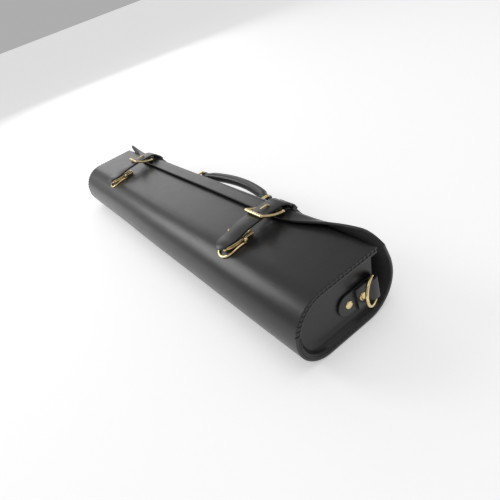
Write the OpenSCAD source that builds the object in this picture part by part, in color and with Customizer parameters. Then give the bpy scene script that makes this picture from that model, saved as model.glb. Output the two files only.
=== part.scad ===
// Long leather case with a fold-over flap, lying on its back panel.
// X runs along the case, Y from the rounded base towards the handle, Z up from the back panel.
// Heights in Y are counted from the base, and place() then moves the origin to the middle of the back.

/* [Case] */
// Overall length of the case
case_len = 660; // [500:5:800]
// Depth from the back panel to the front panel
case_depth = 75; // [70:1:85]
// Height of the front panel above the base
panel_h = 112; // [104:1:112]
// Radius of the base where it meets the back panel
base_back_r = 33; // [28:1:36]
// Thickness of the body leather
leather = 3; // [2.5:0.1:3.5]
// Height at which the back panel starts to curve over
back_h = 87; // [84:0.5:90]
// Radius of the top at the back
top_r = 41.5; // [40:0.5:43]

/* [Flap] */
// Radius of the crown of the flap
crown_r = 60; // [58:1:64]
// Angle that the crown spans
crown_deg = 33.5; // [33:0.5:35]
// Radius where the flap bends down to its lip
lip_r = 12; // [11.5:0.5:13]
// Straight length of the lip
lip_len = 13; // [10:1:16]
// Height above the back panel of the line where the flap folds
fold_z = 36; // [34:0.5:36.5]
// Half of the lip's full length, before it slopes away to the ends
lip_half = 224; // [215:1:230]

/* [End panels] */
// Depth by which an end panel sits inside the case
recess = 8; // [7:0.5:12]
// Thickness of the turned-out rim of an end panel
rim = 4; // [3:0.5:5]
// Height of an end panel at the back panel
gusset_back_h = 102; // [98:1:104]

/* [End rings] */
// Width of the leather tab that holds an end ring
tab_w = 25; // [22:1:28]
// Height above the back panel of the tab's centre line
tab_z = 31; // [28:1:38]
// Wire radius of the end ring
ring_r = 1.75; // [1.5:0.25:2]
// Angle of the ring from the end panel
ring_lean = 24; // [20:1:60]
// Radius of a rivet head
rivet_r = 4.6; // [4:0.1:5]

/* [Straps] */
// Distance between the two closing straps
strap_gap = 382; // [360:2:400]
// Width of a closing strap
strap_w = 25; // [22:1:25]
// Thickness of the strap leather
strap_t = 2.8; // [2.4:0.1:2.8]
// Outer width of a buckle
buckle_w = 35; // [34:1:38]

/* [Handle] */
// Distance between the two handle rings
handle_gap = 188; // [176:2:200]
// How far the handle's middle sits from the case's middle
handle_shift = 8; // [0:1:12]
// Height of the handle's line above the back panel
handle_z = 43; // [43:0.5:46]
// Diameter of the rolled grip
grip_d = 15; // [13:0.5:16]
// How far the grip's middle rises above its ends
grip_rise = 13; // [10:0.5:14]

/* [Hidden] */
$fn = 64;

black = [0.05, 0.05, 0.055];
gold = [0.85, 0.65, 0.3];

rest_y = (base_back_r + back_h) / 2;
base_front_r = case_depth - base_back_r;
half_len = case_len / 2;
end_x = half_len - recess;
bend_step = 4.5;
thread_w = 1.2;
thread_h = 0.6;

// The middle line of the leather over the top: its arc centres and the fold
top_c = [back_h, top_r];
mid_r = top_r - leather / 2;
fold_deg = asin((fold_z - top_r) / mid_r);
fold_y = back_h + mid_r * cos(fold_deg);
crown_c = [back_h + top_r - crown_r, top_r];
lip_c = crown_c + (crown_r - lip_r) * [cos(crown_deg), sin(crown_deg)];
lip_deg = 90 - crown_deg;
lip_top_z = lip_c[1] + lip_r;
lip_edge_y = lip_c[0] - lip_len;
fold_gap = 2.2;
knuckle = 1.06;

// End ring and its tab, in the plane across the end panel
tab_t = 2.5;
tab_low = 57;
tab_bar_y = 104;
loop_r = ring_r + 0.1 + tab_t / 2;
tab_bar_x = tab_t / 2 + loop_r;
tab_turn = 25;
tab_bend_r = 8;
tab_layer_gap = 0.1;
tab_shift = 2 * loop_r - tab_t - tab_layer_gap;
tab_slope = (tab_shift - 2 * tab_bend_r * (1 - cos(tab_turn))) / sin(tab_turn);
ring_half = 14.8;
ring_leg = 7;

// Closing strap, as straight runs [length, 0] and bends [radius, angle]
strap_x = strap_gap / 2;
strap_start = [19, case_depth + 7.9, 0];
strap_steps = [[13, 0], [40, 14], [9, 0], [60, -9], [15, 0], [100, -5], [20.6, 0], [16, -62],
    [14, 0], [60, 14], [26, 0]];
strap_drop = 7;
strap_end_cut = 8;
strap_point = 11;
stud_step = 4;
spare_hole_y = 80.5;
slot_w = 4;
slot_len = 14;

// Buckle: the front bar over the strap, the heel bar under it
bar_r = 2.2;
heel_r = 1.9;
front_y = 74.8;
front_z = case_depth + 18.6;
heel_y = 102.5;
prong_r = 1.2;
prong_clear = 0.1;
prong_eye_r = heel_r + prong_clear + 1.7;
heel_loop_t = 1.8;
heel_z = lip_top_z + heel_loop_t + prong_clear + heel_r;

// Clip under the strap and the catch on the front panel
clip_half = 15;
clip_round_y = 33;
clip_top_y = 47;
clip_bar_w = 3;
clip_t = 2.2;
arm_r = 1.3;
arm_z = case_depth + 3;
arm_pivot_y = 25.5;
arm_pivot_x = 5;
arm_end_y = 62;
staple_half = 4.6;

// Handle
crown_y = back_h + top_r;
handle_x = handle_gap / 2;
handle_tab_t = 2.5;
handle_tab_w = 13;
handle_bar_r = 1.8;
handle_clear = 0.1;
handle_low_y = crown_y + handle_tab_t + handle_bar_r + handle_clear;
handle_high_y = handle_low_y + 17;
handle_ring_half = 8.6;
grip_r = grip_d / 2;
grip_inset = 9;
grip_arc_r = (pow(handle_x - grip_inset, 2) + pow(grip_rise, 2)) / (2 * grip_rise);
grip_arc_deg = asin((handle_x - grip_inset) / grip_arc_r);

// Moves a piece from heights above the base to the part's own frame
module place() translate([0, -rest_y, 0]) children();

// Draws a side outline in Y and Z and carries it along X
module along_x(length) rotate([90, 0, 90]) linear_extrude(height = length, center = true) children();

// A slice of a disc from angle a to angle b
module wedge(radius, a, b) {
    steps = 6;
    polygon(concat([[0, 0]], [for (k = [0:steps]) let (q = a + (b - a) * k / steps)
        1.2 * radius * [cos(q), sin(q)]]));
}

// Part of a ring between two angles
module ring_sector(inner, outer, a, b) {
    intersection() {
        difference() {
            circle(outer);
            circle(inner);
        }
        wedge(outer, a, b);
    }
}

// Where one straight run [length, 0] or bend [radius, angle] leads from a place and heading
function step_end(at, size, turn) = let (h = at[2], side = sign(turn))
    turn == 0
        ? [at[0] + size * cos(h), at[1] + size * sin(h), h]
        : [at[0] + size * side * (sin(h + turn) - sin(h)),
           at[1] - size * side * (cos(h + turn) - cos(h)), h + turn];

// Where a whole list of runs and bends leads
function walk(steps, at, i = 0) =
    i >= len(steps) ? at : walk(steps, step_end(at, steps[i][0], steps[i][1]), i + 1);

// A place moved sideways from its heading
function beside(at, off) = [at[0] - off * sin(at[2]), at[1] + off * cos(at[2])];

// The points along runs and bends, moved sideways by a distance
function path_points(steps, at, off, i = 0) = i >= len(steps) ? [] :
    let (size = steps[i][0], turn = steps[i][1], n = turn == 0 ? 1 : ceil(abs(turn) / bend_step))
    concat([for (k = [1:n]) beside(step_end(at, size, turn * k / n), off)],
        path_points(steps, step_end(at, size, turn), off, i + 1));
function path_edge(steps, at, off) = concat([beside(at, off)], path_points(steps, at, off));
function reversed(list) = [for (k = [len(list) - 1:-1:0]) list[k]];

// A strip of even thickness along runs and bends
module strip(steps, t, at = [0, 0, 0])
    polygon(concat(path_edge(steps, at, t / 2), reversed(path_edge(steps, at, -t / 2))));

// A low domed rivet head that stands on the XY plane
module rivet_head(radius, height) {
    dome_r = (radius * radius + height * height) / (2 * height);
    intersection() {
        translate([0, 0, height - dome_r]) sphere(dome_r);
        cylinder(r = radius, h = height);
    }
}

// A straight rod between two points
module rod(a, b, radius) {
    d = b - a;
    flat = norm([d[0], d[1]]);
    translate(a) rotate([0, atan2(flat, d[2]), atan2(d[1], d[0])]) cylinder(r = radius, h = norm(d));
}

// Rods through a list of points, with a slightly fuller knuckle at each point
module wire(points, radius) {
    for (i = [0:len(points) - 2]) rod(points[i], points[i + 1], radius);
    for (p = points) translate(p) sphere(radius * knuckle);
}

// A line at a given depth inside the leather's outer face: down the front, round the base, up the back
function wrap_start(depth_in, front_y) = [front_y, case_depth - depth_in, 180];
function wrap_steps(depth_in, front_y, top_turn) = [
    [front_y - base_front_r, 0],
    [base_front_r - depth_in, 90],
    [base_back_r - depth_in, 90],
    [back_h - base_back_r, 0],
    [top_r - depth_in, top_turn]
];

module wrap() {
    color(black) place() {
        difference() {
            along_x(case_len) strip(wrap_steps(leather / 2, panel_h, 90 + fold_deg), leather,
                wrap_start(leather / 2, panel_h));
            translate([0, fold_y, fold_z]) cube([case_len + 1, 20, 2 * fold_gap], center = true);
        }
    }
}

// How far an end panel's edge turns with the back at a given depth, up to its top corner
function gusset_turn(depth_in) = asin((gusset_back_h - back_h) / (top_r - depth_in));

// A flat end panel with a rim turned out to the case's end
module gusset() {
    rim_depth = leather + rim / 2;
    rim_front_y = panel_h - 0.5;
    color(black) place() translate([end_x - leather, 0, 0]) rotate([90, 0, 90]) {
        linear_extrude(height = leather)
            polygon(path_edge(wrap_steps(leather, panel_h, gusset_turn(leather)),
                wrap_start(leather, panel_h), 0));
        linear_extrude(height = leather + recess)
            strip(wrap_steps(rim_depth, rim_front_y, gusset_turn(rim_depth)), rim,
                wrap_start(rim_depth, rim_front_y));
    }
}

// The sewn seam where an end panel's rim meets the body
module seam_thread() {
    color(black) place() translate([half_len, 0, 0]) rotate([90, 0, 90])
        linear_extrude(height = thread_h)
            strip(wrap_steps(leather, panel_h - 2, 18), thread_w, wrap_start(leather, panel_h - 2));
}

module ring_tab() {
    color(black) place() translate([end_x, 0, tab_z]) {
        difference() {
            linear_extrude(height = tab_w, center = true)
                strip([[tab_bar_y - tab_low, 0], [loop_r, -180], [2, 0], [tab_bend_r, -tab_turn],
                    [tab_slope, 0], [tab_bend_r, tab_turn], [12, 0]], tab_t, [tab_t / 2, tab_low, 90]);
            translate([-1, tab_low - 1, 0]) difference() {
                cube([2 * tab_t, tab_w, 2 * tab_w], center = true);
                translate([0, tab_w / 2 + 1, 0]) rotate([0, 90, 0])
                    cylinder(d = tab_w, h = 3 * tab_t, center = true);
            }
        }
    }
}

// The two rivets of an end tab: one on the single leather, one on the doubled leather
module tab_rivets() {
    color(gold) place() {
        translate([end_x + tab_t, tab_low + 13.5, tab_z]) rotate([0, 90, 0]) rivet_head(rivet_r, 1.6);
        translate([end_x + 2 * tab_t + tab_layer_gap, tab_bar_y - 17, tab_z]) rotate([0, 90, 0])
            rivet_head(rivet_r, 1.6);
    }
}

// The end ring: a straight bar in the tab, two legs and a half circle
module d_ring() {
    color(gold) place() translate([end_x + tab_bar_x, tab_bar_y, tab_z]) rotate([0, 0, ring_lean]) {
        wire([[0, -ring_leg, -ring_half], [0, 0, -ring_half], [0, 0, ring_half],
            [0, -ring_leg, ring_half]], ring_r);
        translate([0, -ring_leg, 0]) rotate([0, 90, 0]) rotate([0, 0, 180])
            rotate_extrude(angle = 180) translate([ring_half, 0]) circle(ring_r);
    }
}

// The half-round outline of the clip hardware, open towards the top
module clip_outline(half, width) {
    difference() {
        union() {
            translate([0, clip_round_y]) circle(half);
            translate([-half, clip_round_y]) square([2 * half, clip_top_y - clip_round_y]);
        }
        union() {
            translate([0, clip_round_y]) circle(half - width);
            translate([-half + width, clip_round_y])
                square([2 * (half - width), clip_top_y - clip_round_y + 1]);
        }
    }
}

// A half-round frame bent to lie on the leather where the front panel turns into the base
module catch_frame() {
    lift = 0.3;
    color(gold) place() translate([strap_x, 0, 0]) intersection() {
        translate([0, 0, base_back_r]) linear_extrude(height = case_depth)
            clip_outline(clip_half, clip_bar_w);
        along_x(3 * clip_half) translate([base_front_r, base_back_r])
            ring_sector(base_front_r + lift, base_front_r + lift + clip_t, 84, 180);
    }
}

// The plate and narrow staple on the front panel that the clip's arms close round
module catch_staple() {
    plate_t = 1.2;
    plate_len = 16;
    rise = 3.4;
    wall = 2.2;
    color(gold) place() translate([strap_x, clip_top_y + 1, case_depth]) {
        translate([-staple_half, 0, 0]) cube([2 * staple_half, plate_len, plate_t]);
        for (s = [-1, 1]) translate([s * (staple_half - wall / 2) - wall / 2, 2, plate_t - 0.01])
            cube([wall, plate_len - 2, rise]);
        translate([-staple_half, plate_len - wall, plate_t - 0.01]) cube([2 * staple_half, wall, rise]);
    }
}

module catch_rivets() {
    color(gold) place() for (s = [-1, 1], u = [5, 10.5])
        translate([s * strap_x, clip_top_y + u, case_depth + 1.2]) rivet_head(1.5, 0.8);
}

// The flap's middle line from the fold over the crown to the lip
flap_start = [fold_y, fold_z, 90 + fold_deg];
flap_steps = [
    [mid_r, -fold_deg],
    [crown_r - leather / 2, crown_deg],
    [lip_r - leather / 2, lip_deg],
    [lip_len, 0]
];

module flap() {
    color(black) place() {
        difference() {
            union() {
                along_x(case_len) strip(flap_steps, leather, flap_start);
                translate([0, fold_y, fold_z]) rotate([0, 90, 0])
                    cylinder(d = 0.94 * leather, h = case_len - 0.2, center = true);
            }
            for (s = [-1, 1]) mirror([s < 0 ? 1 : 0, 0, 0]) translate([0, 0, top_r + 8])
                linear_extrude(height = case_depth) polygon([
                    [lip_half, lip_edge_y - 5],
                    [lip_half, lip_edge_y],
                    [half_len - 55, lip_edge_y + 12],
                    [half_len - 20, lip_edge_y + 18],
                    [half_len + 1, lip_edge_y + 20],
                    [half_len + 1, lip_edge_y - 5]
                ]);
        }
    }
}

// The leather that holds a buckle's heel bar and lies on the flap
module buckle_tab() {
    t = heel_loop_t;
    loop_mid = heel_r + 0.1 + t / 2;
    run_r = lip_r + t / 2 + 0.05;
    color(black) place() translate([strap_x, 0, 0]) difference() {
        along_x(strap_w - 2) {
            translate([heel_y, heel_z]) ring_sector(loop_mid - t / 2, loop_mid + t / 2, -95, 150);
            translate([heel_y, heel_z]) ring_sector(loop_mid - t / 2, loop_mid + t / 2, 140, 265);
            translate(lip_c) ring_sector(run_r - t / 2, run_r + t / 2, 56, 92);
            translate([heel_y, lip_top_z + 0.05]) square([lip_c[0] - heel_y, t]);
        }
        translate([0, heel_y - 3, heel_z + 2]) cube([slot_w, 14, 12], center = true);
        translate([0, heel_y, heel_z]) rotate([0, 90, 0])
            cylinder(r = prong_eye_r + 0.5, h = slot_w, center = true);
    }
}

// Stitches that hold the buckle tabs, grouped as one row on each side of each tab
module tab_stitches() {
    reach = lip_r + heel_loop_t + 0.05;
    color(black) place() for (s = [-1, 1], u = [-1, 1], q = [62:11:84])
        translate([s * strap_x + u * (strap_w / 2 - 3.5), lip_c[0], lip_c[1]]) rotate([q - 90, 0, 0])
            translate([0, 0, reach]) cylinder(r = 0.6, h = 0.5);
}

// Where the strap ends and where the keeper holds it
strap_tip = walk(strap_steps, strap_start);
keeper_at = walk([for (k = [0:strap_drop]) strap_steps[k]], strap_start);

// The band that holds the strap's free end down behind the buckle
module keeper() {
    band = 1.6;
    band_w = 6;
    leg = 4;
    side_clear = 0.5;
    inner_top = strap_t / 2 + 0.3;
    color(black) place() translate([strap_x, 0, 0]) difference() {
        translate([0, keeper_at[0], keeper_at[1]]) rotate([keeper_at[2], 0, 0]) translate([0, 1, 0])
            difference() {
                translate([-strap_w / 2 - band - side_clear, 0, -leg])
                    cube([strap_w + 2 * band + 2 * side_clear, band_w, leg + inner_top + band]);
                translate([-strap_w / 2 - side_clear, -1, -leg - 1])
                    cube([strap_w + 2 * side_clear, band_w + 2, leg + 1 + inner_top]);
            }
        translate([0, lip_c[0], lip_c[1]]) rotate([0, 90, 0])
            cylinder(r = lip_r + 0.1, h = 2 * strap_w, center = true);
        translate([0, crown_c[0], crown_c[1]]) rotate([0, 90, 0])
            cylinder(r = crown_r + 0.1, h = 2 * strap_w, center = true);
    }
}

module strap() {
    color(black) place() translate([strap_x, 0, 0]) difference() {
        along_x(strap_w) strip(strap_steps, strap_t, strap_start);
        translate([0, heel_y - 7.5, heel_z]) cube([slot_w, slot_len, 40], center = true);
        translate([0, spare_hole_y, heel_z]) cylinder(r = 1.5, h = 20);
        for (s = [-1, 1]) translate([s * strap_w / 2, strap_start[0], case_depth])
            linear_extrude(height = 6 * strap_t) polygon([
                [-s * (strap_end_cut + 1), -1], [s, -1], [s, strap_end_cut + 1]]);
        translate([0, strap_tip[0], strap_tip[1]]) rotate([strap_tip[2], 0, 0])
            for (s = [-1, 1]) linear_extrude(height = 3 * strap_t, center = true) polygon([
                [s * 3, 1], [s * strap_w / 2 + s, -strap_point - 1], [s * (strap_w / 2 + 1), 1]]);
    }
}

// Three small studs on each strap's free end
module strap_studs() {
    color(gold) place() for (s = [-1, 1], k = [0:2])
        translate([s * strap_x, strap_tip[0], strap_tip[1]]) rotate([strap_tip[2], 0, 0])
            translate([0, -24 + k * stud_step, strap_t / 2]) rivet_head(1.4, 0.8);
}

// The rectangular frame: front bar, heel bar and two cambered side arms
module buckle_frame() {
    half = buckle_w / 2 - bar_r;
    sag = 1.8;
    mid_y = (front_y + heel_y) / 2;
    mid_z = (front_z + heel_z) / 2 - sag;
    color(gold) place() translate([strap_x, 0, 0]) {
        wire([[-half, mid_y, mid_z], [-half, front_y, front_z], [half, front_y, front_z],
            [half, mid_y, mid_z]], bar_r);
        for (s = [-1, 1]) {
            rod([s * half, mid_y, mid_z], [s * half, heel_y, heel_z], bar_r - 0.15);
            translate([s * half, heel_y, heel_z]) sphere(bar_r * knuckle);
        }
        rod([-half, heel_y, heel_z], [half, heel_y, heel_z], heel_r);
    }
}

// The prong turns on the heel bar, rises through the strap and lies over the front bar
module buckle_prong() {
    knee = [heel_y - 7.5, heel_z + 9.2];
    tip = [heel_y - 17, heel_z + 9.3];
    color(gold) place() translate([strap_x, 0, 0]) {
        rotate([0, 90, 0]) translate([-heel_z, heel_y, 0]) difference() {
            cylinder(r = prong_eye_r, h = slot_w - 0.6, center = true);
            cylinder(r = heel_r + prong_clear, h = 5, center = true);
        }
        rod([0, heel_y - 3.2, heel_z + 0.4], [0, knee[0], knee[1]], prong_r);
        wire([[0, knee[0], knee[1]], [0, tip[0], tip[1]]], prong_r);
    }
}

// The clip's upper frame, fixed under the strap's lower end, with its cross bar
module clip_body() {
    plate_low = case_depth + 4.9;
    plate_t = 1.5;
    cross_r = 1.6;
    cross_half = 17;
    ball_r = 2.3;
    pin_r = 1.2;
    cross_z = plate_low + 1.4;
    color(gold) place() translate([strap_x, 0, 0]) {
        translate([0, 0, plate_low]) linear_extrude(height = plate_t) {
            intersection() {
                clip_outline(12, 4);
                translate([-clip_half, 0]) square([2 * clip_half, clip_top_y]);
            }
            translate([-arm_pivot_x - 3, arm_pivot_y - 3.5]) square([2 * arm_pivot_x + 6, 6]);
        }
        translate([0, clip_top_y, cross_z]) rotate([0, 90, 0])
            cylinder(r = cross_r, h = 2 * cross_half, center = true);
        for (s = [-1, 1]) {
            translate([s * cross_half, clip_top_y, cross_z]) sphere(ball_r);
            translate([s * arm_pivot_x, arm_pivot_y, arm_z - arm_r])
                cylinder(r = pin_r, h = plate_low - arm_z + arm_r + 0.1);
        }
    }
}

// One of the two sprung arms that are pinched towards each other
module clip_arm() {
    $fn = 36;
    eye_y = arm_pivot_y;
    eye_r = 3;
    eye_t = 3;
    pin_hole_r = 1.26;
    wide = 10.3;
    narrow = 8.4;
    color(gold) place() translate([strap_x, 0, arm_z]) {
        difference() {
            translate([arm_pivot_x, eye_y, 0]) cylinder(r = eye_r, h = eye_t, center = true);
            translate([arm_pivot_x, eye_y, 0]) cylinder(r = pin_hole_r, h = 5, center = true);
        }
        wire([[arm_pivot_x + 2.4, eye_y + 1, 0], [wide, 31, 0], [wide, 41, 0], [narrow, 49, 0],
            [narrow, arm_end_y, 0]], arm_r);
    }
}

// Leather tab that carries a handle ring on the crown
module handle_tab() {
    t = handle_tab_t;
    loop = handle_bar_r + handle_clear + t / 2;
    bar_dy = handle_low_y - crown_y;
    tab_run = 34;
    color(black) place() translate([handle_x, crown_y, handle_z]) difference() {
        linear_extrude(height = handle_tab_w, center = true) union() {
            translate([0, bar_dy]) ring_sector(loop - t / 2, loop + t / 2, -90, 90);
            translate([0, bar_dy]) ring_sector(loop - t / 2, loop + t / 2, 85, 270);
            translate([0, 0.3]) square([tab_run, t - 0.3]);
            translate([0, bar_dy + handle_bar_r + handle_clear]) rotate(-20) square([10, t]);
            translate([8, t - 0.1]) square([tab_run - 8, t]);
        }
        translate([0, bar_dy, 0]) cylinder(r = handle_bar_r + handle_clear, h = 2 * handle_tab_w, center = true);
    }
}

module handle_tab_rivets() {
    color(gold) place() for (s = [-1, 1])
        translate([s * (handle_x + 25), crown_y + 2 * handle_tab_t - 0.1, handle_z])
            rotate([-90, 0, 0]) rivet_head(3.6, 1.3);
}

// A rectangular ring that links the tab to the grip
module handle_ring() {
    low = [handle_x, handle_low_y];
    high = [handle_x, handle_high_y];
    color(gold) place() translate([0, 0, handle_z]) {
        corners = [
            [low[0], low[1], -handle_ring_half], [low[0], low[1], handle_ring_half],
            [high[0], high[1], handle_ring_half], [high[0], high[1], -handle_ring_half]
        ];
        wire(corners, handle_bar_r);
        rod(corners[3], corners[0], handle_bar_r);
    }
}

// The rolled grip: a low arch whose flat ends wrap the rings
module grip() {
    t = 3;
    loop = handle_bar_r + handle_clear + t / 2;
    end_half = handle_ring_half - handle_bar_r - 0.6;
    base_y = handle_high_y + 1.5;
    color(black) place() translate([0, 0, handle_z]) {
        translate([0, base_y + grip_rise - grip_arc_r, 0]) rotate([0, 0, 90 - grip_arc_deg])
            rotate_extrude(angle = 2 * grip_arc_deg) translate([grip_arc_r, 0]) circle(grip_r);
        for (s = [-1, 1]) translate([s * handle_x, handle_high_y, 0]) mirror([s < 0 ? 1 : 0, 0, 0]) {
            linear_extrude(height = 2 * end_half, center = true) {
                ring_sector(loop - t / 2, loop + t / 2, -90, 90);
                translate([-18, loop - t / 2]) square([18.01, t]);
                translate([-18, -loop - t / 2]) square([18.01, t]);
            }
        }
    }
}

module grip_rivets() {
    color(gold) place() for (s = [-1, 1])
        translate([s * (handle_x - 6), handle_high_y - handle_bar_r - 3.2, handle_z])
            rotate([90, 0, 0]) rivet_head(2.4, 1);
}

module left() mirror([1, 0, 0]) children();

// Swaps a strap piece's two sides about the right strap's middle
module swapped() translate([2 * strap_x, 0, 0]) left() children();

// Turns a clip arm over about its own plane
module turned_over() translate([0, 0, 2 * arm_z]) mirror([0, 0, 1]) children();

// Moves the handle's pieces along the crown
module shifted() translate([handle_shift, 0, 0]) children();

wrap();
gusset();  // gusset_right
left() gusset();  // gusset_left
seam_thread();  // seam_thread_right
left() seam_thread();  // seam_thread_left
ring_tab();  // ring_tab_right
left() ring_tab();  // ring_tab_left
tab_rivets();  // tab_rivets_right
left() tab_rivets();  // tab_rivets_left
d_ring();  // d_ring_right
left() d_ring();  // d_ring_left
catch_frame();  // catch_frame_right
left() catch_frame();  // catch_frame_left
catch_staple();  // catch_staple_right
left() catch_staple();  // catch_staple_left
catch_rivets();
flap();
buckle_tab();  // buckle_tab_right
left() buckle_tab();  // buckle_tab_left
tab_stitches();
keeper();  // keeper_right
left() keeper();  // keeper_left
strap();  // strap_right
left() strap();  // strap_left
strap_studs();
swapped() buckle_frame();  // buckle_frame_right
left() buckle_frame();  // buckle_frame_left
buckle_prong();  // buckle_prong_right
left() buckle_prong();  // buckle_prong_left
swapped() clip_body();  // clip_body_right
left() clip_body();  // clip_body_left
turned_over() clip_arm();  // clip_arm_outer_right
swapped() clip_arm();  // clip_arm_inner_right
left() clip_arm();  // clip_arm_outer_left
translate([-2 * strap_x, 0, 0]) turned_over() clip_arm();  // clip_arm_inner_left
shifted() handle_tab();  // handle_tab_right
shifted() left() handle_tab();  // handle_tab_left
shifted() handle_tab_rivets();
shifted() handle_ring();  // handle_ring_right
shifted() left() handle_ring();  // handle_ring_left
shifted() grip();
shifted() grip_rivets();
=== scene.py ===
"""Looks for a long black leather satchel case that lies on its back panel.

Everything is in metres in the part's own frame: X along the case, Y from the base to the handle, Z up.
"""
import math

import bmesh
import bpy
import numpy as np
from mathutils import Matrix, Vector


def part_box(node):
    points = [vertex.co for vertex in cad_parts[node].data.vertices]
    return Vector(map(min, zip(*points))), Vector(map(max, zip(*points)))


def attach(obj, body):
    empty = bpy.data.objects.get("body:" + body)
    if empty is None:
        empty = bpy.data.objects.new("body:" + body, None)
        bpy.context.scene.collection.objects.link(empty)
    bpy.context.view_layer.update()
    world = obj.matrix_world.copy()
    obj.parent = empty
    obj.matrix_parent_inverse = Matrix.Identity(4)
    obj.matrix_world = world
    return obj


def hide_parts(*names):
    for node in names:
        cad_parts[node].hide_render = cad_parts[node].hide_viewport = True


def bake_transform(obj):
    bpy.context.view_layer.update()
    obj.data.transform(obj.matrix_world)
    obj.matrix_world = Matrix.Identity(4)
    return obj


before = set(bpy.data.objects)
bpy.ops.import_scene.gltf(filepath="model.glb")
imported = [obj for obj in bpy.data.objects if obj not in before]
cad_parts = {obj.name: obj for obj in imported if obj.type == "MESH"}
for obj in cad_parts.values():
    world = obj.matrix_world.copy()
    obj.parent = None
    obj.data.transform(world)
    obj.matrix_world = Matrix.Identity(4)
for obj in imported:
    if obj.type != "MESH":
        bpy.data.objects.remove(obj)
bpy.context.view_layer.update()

MM = 0.001
SIDES = {"right": 1, "left": -1}

# Main sizes, in millimetres, with heights counted from the base and turned into the frame by spot()
CASE_DEPTH = 75.0
BASE_BACK_R = 33.0
BASE_FRONT_R = CASE_DEPTH - BASE_BACK_R
BACK_H = 87.0
TOP_R = 41.5
CROWN_R = 60.0
CROWN_DEG = 33.5
LIP_R = 12.0
LIP_LEN = 13.0
LEATHER = 3.0
PANEL_H = 112.0
FOLD_Z = 36.0
REST_Y = (BASE_BACK_R + BACK_H) / 2
HALF_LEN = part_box("wrap")[1].x / MM
END_X = HALF_LEN - 8.0
MID_R = TOP_R - LEATHER / 2
FOLD_DEG = math.degrees(math.asin((FOLD_Z - TOP_R) / MID_R))
FOLD_Y = BACK_H + MID_R * math.cos(math.radians(FOLD_DEG))
CROWN_Y = BACK_H + TOP_R
LIP_Y = BACK_H + TOP_R - CROWN_R + (CROWN_R - LIP_R) * math.cos(math.radians(CROWN_DEG))
LIP_Z = TOP_R + (CROWN_R - LIP_R) * math.sin(math.radians(CROWN_DEG))
FLAP_TOP_Z = LIP_Z + LIP_R
STRAP_X = sum(p.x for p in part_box("strap_right")) / 2 / MM
HANDLE_SHIFT = sum(p.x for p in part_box("grip")) / 2 / MM
HANDLE_Z = sum(p.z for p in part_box("grip")) / 2 / MM


# ---------------------------------------------------------------- shapes


def spot(x, y, z):
    """A point given in millimetres, with y counted from the base, in the frame."""
    return np.array([x, y - REST_Y, z], float) * MM


def side_line(points, x=0.0):
    """Points of a side outline (y, z) placed at one x."""
    return np.array([spot(x, p[0], p[1]) for p in points])


def step_end(at, size, turn):
    """Where a straight run (size, 0) or a bend (radius, degrees) leads from (a, b, heading)."""
    a, b, h = at
    if turn == 0:
        return (a + size * math.cos(math.radians(h)), b + size * math.sin(math.radians(h)), h)
    side = math.copysign(1, turn)
    h0, h1 = math.radians(h), math.radians(h + turn)
    return (
        a + size * side * (math.sin(h1) - math.sin(h0)),
        b - size * side * (math.cos(h1) - math.cos(h0)),
        h + turn,
    )


def trace(steps, at, spacing=1.5):
    """Evenly sampled (a, b, heading) along runs and bends, in millimetres."""
    found = [at]
    for size, turn in steps:
        length = size if turn == 0 else size * abs(math.radians(turn))
        count = max(1, round(length / spacing))
        for k in range(1, count + 1):
            share = k / count
            found.append(step_end(at, size * (share if turn == 0 else 1), turn * share))
        at = step_end(at, size, turn)
    return np.array(found)


def smooth(a, b, x):
    t = np.clip((x - a) / (b - a), 0, 1)
    return t * t * (3 - 2 * t)


def make_mesh(name, points, faces, material, body, slot, smooth_angle=40):
    """A mesh object in the frame that rides on a body."""
    mesh = bpy.data.meshes.new(name)
    mesh.from_pydata([tuple(p) for p in points], [], faces)
    mesh.validate()
    shape = bmesh.new()
    shape.from_mesh(mesh)
    bmesh.ops.recalc_face_normals(shape, faces=shape.faces)
    shape.to_mesh(mesh)
    shape.free()
    for polygon in mesh.polygons:
        polygon.use_smooth = True
    mesh.set_sharp_from_angle(angle=math.radians(smooth_angle))
    mesh.materials.append(material)
    obj = bpy.data.objects.new(name, mesh)
    bpy.context.scene.collection.objects.link(obj)
    if body:
        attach(obj, body)
    return obj


def loft(loops, closed=False, caps=True, offset=0):
    """Points and faces that join matching rings of points."""
    count = len(loops[0])
    points = np.concatenate(loops)
    faces = []
    rows = len(loops)
    for i in range(rows if closed else rows - 1):
        j = (i + 1) % rows
        for k in range(count):
            m = (k + 1) % count
            faces.append([offset + i * count + k, offset + i * count + m,
                          offset + j * count + m, offset + j * count + k])
    if caps and not closed:
        faces.append([offset + k for k in range(count)])
        faces.append([offset + (rows - 1) * count + k for k in range(count)])
    return points, faces


def together(parts):
    """Several (points, faces) joined into one."""
    points, faces, base = [], [], 0
    for p, f in parts:
        points.append(p)
        faces += [[v + base for v in face] for face in f]
        base += len(p)
    return np.concatenate(points), faces


def directions(path, closed=False):
    """Unit directions along a path."""
    if closed:
        d = np.roll(path, -1, 0) - np.roll(path, 1, 0)
    else:
        d = np.gradient(path, axis=0)
    return d / np.maximum(np.linalg.norm(d, axis=1), 1e-12)[:, None]


def rounded_section(width, thick, radius, steps=3):
    """A rounded rectangle round the origin as (across, up) pairs."""
    radius = min(radius, width / 2 - 1e-6, thick / 2 - 1e-6)
    out = []
    for sx, sy, start in ((1, 1, 0), (-1, 1, 90), (-1, -1, 180), (1, -1, 270)):
        for k in range(steps + 1):
            a = math.radians(start + 90 * k / steps)
            out.append((sx * (width / 2 - radius) + radius * math.cos(a),
                        sy * (thick / 2 - radius) + radius * math.sin(a)))
    return np.array(out)


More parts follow.
